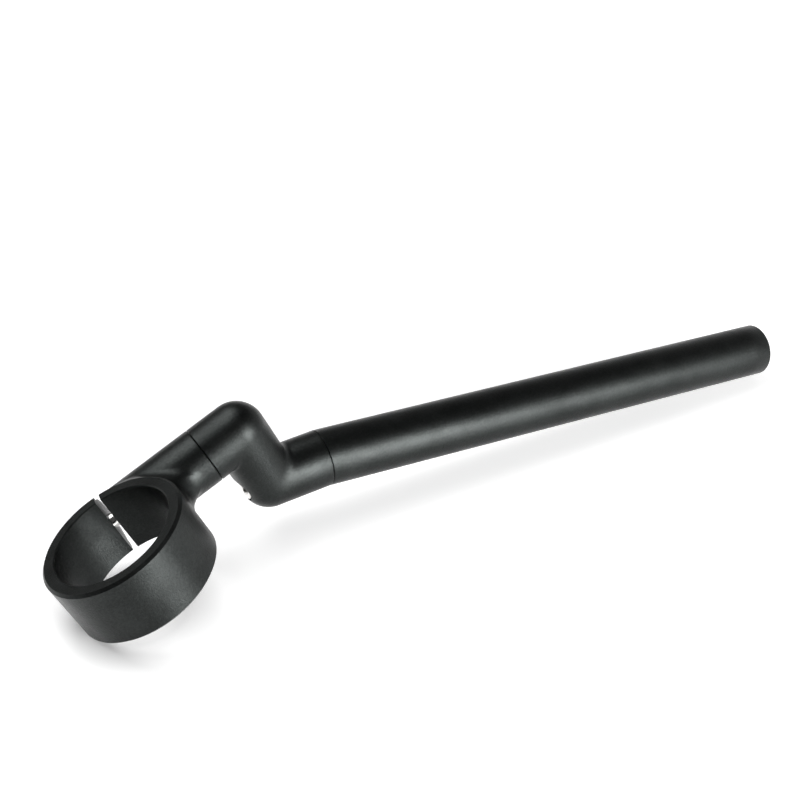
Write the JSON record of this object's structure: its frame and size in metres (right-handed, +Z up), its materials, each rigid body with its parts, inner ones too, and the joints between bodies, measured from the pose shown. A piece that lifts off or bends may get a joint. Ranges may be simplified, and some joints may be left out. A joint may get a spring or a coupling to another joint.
{
  "type": "clip-on handlebar",
  "caption": "Black clip-on motorcycle handlebar: split fork clamp with a short round arm, a twice-bent offset link and a straight tubular bar, set by hand and held by screws.",
  "frame": {"origin": "middle of the clamp's bore, at half of the ring's height", "axes": "+Z up the fork tube, out of the ring's top face; +X along the arm, away from the ring; +Y from the fork tube's axis towards the arm"},
  "size_m": [0.3032, 0.08, 0.163],
  "materials": {
    "black_anodised": "bead blasted and black anodised",
    "bright_steel": "bright plated",
    "black_steel": "black oxide",
    "plain_aluminium": "turned, bare"
  },
  "bodies": {
    "clamp": {"clamp_body": "black_anodised", "pinch_bolt": "bright_steel", "set_screws": "black_steel"},
    "link": {"offset_link": "black_anodised", "bar_bolt": "bright_steel"},
    "bar": {"bar_plug": "plain_aluminium", "handlebar_tube": "black_anodised"}
  },
  "joints": [
    {"name": "link_swivel", "type": "hinge", "parent": "clamp", "child": "link", "pos_m": [0.0425, 0.025, 0], "axis": [1, 0, 0], "continuous": true},
    {"name": "bar_swivel", "type": "hinge", "parent": "link", "child": "bar", "pos_m": [0.07801, 0.02866, -0.03487], "axis": [0.9336, 0.0375, -0.3564], "continuous": true}
  ]
}
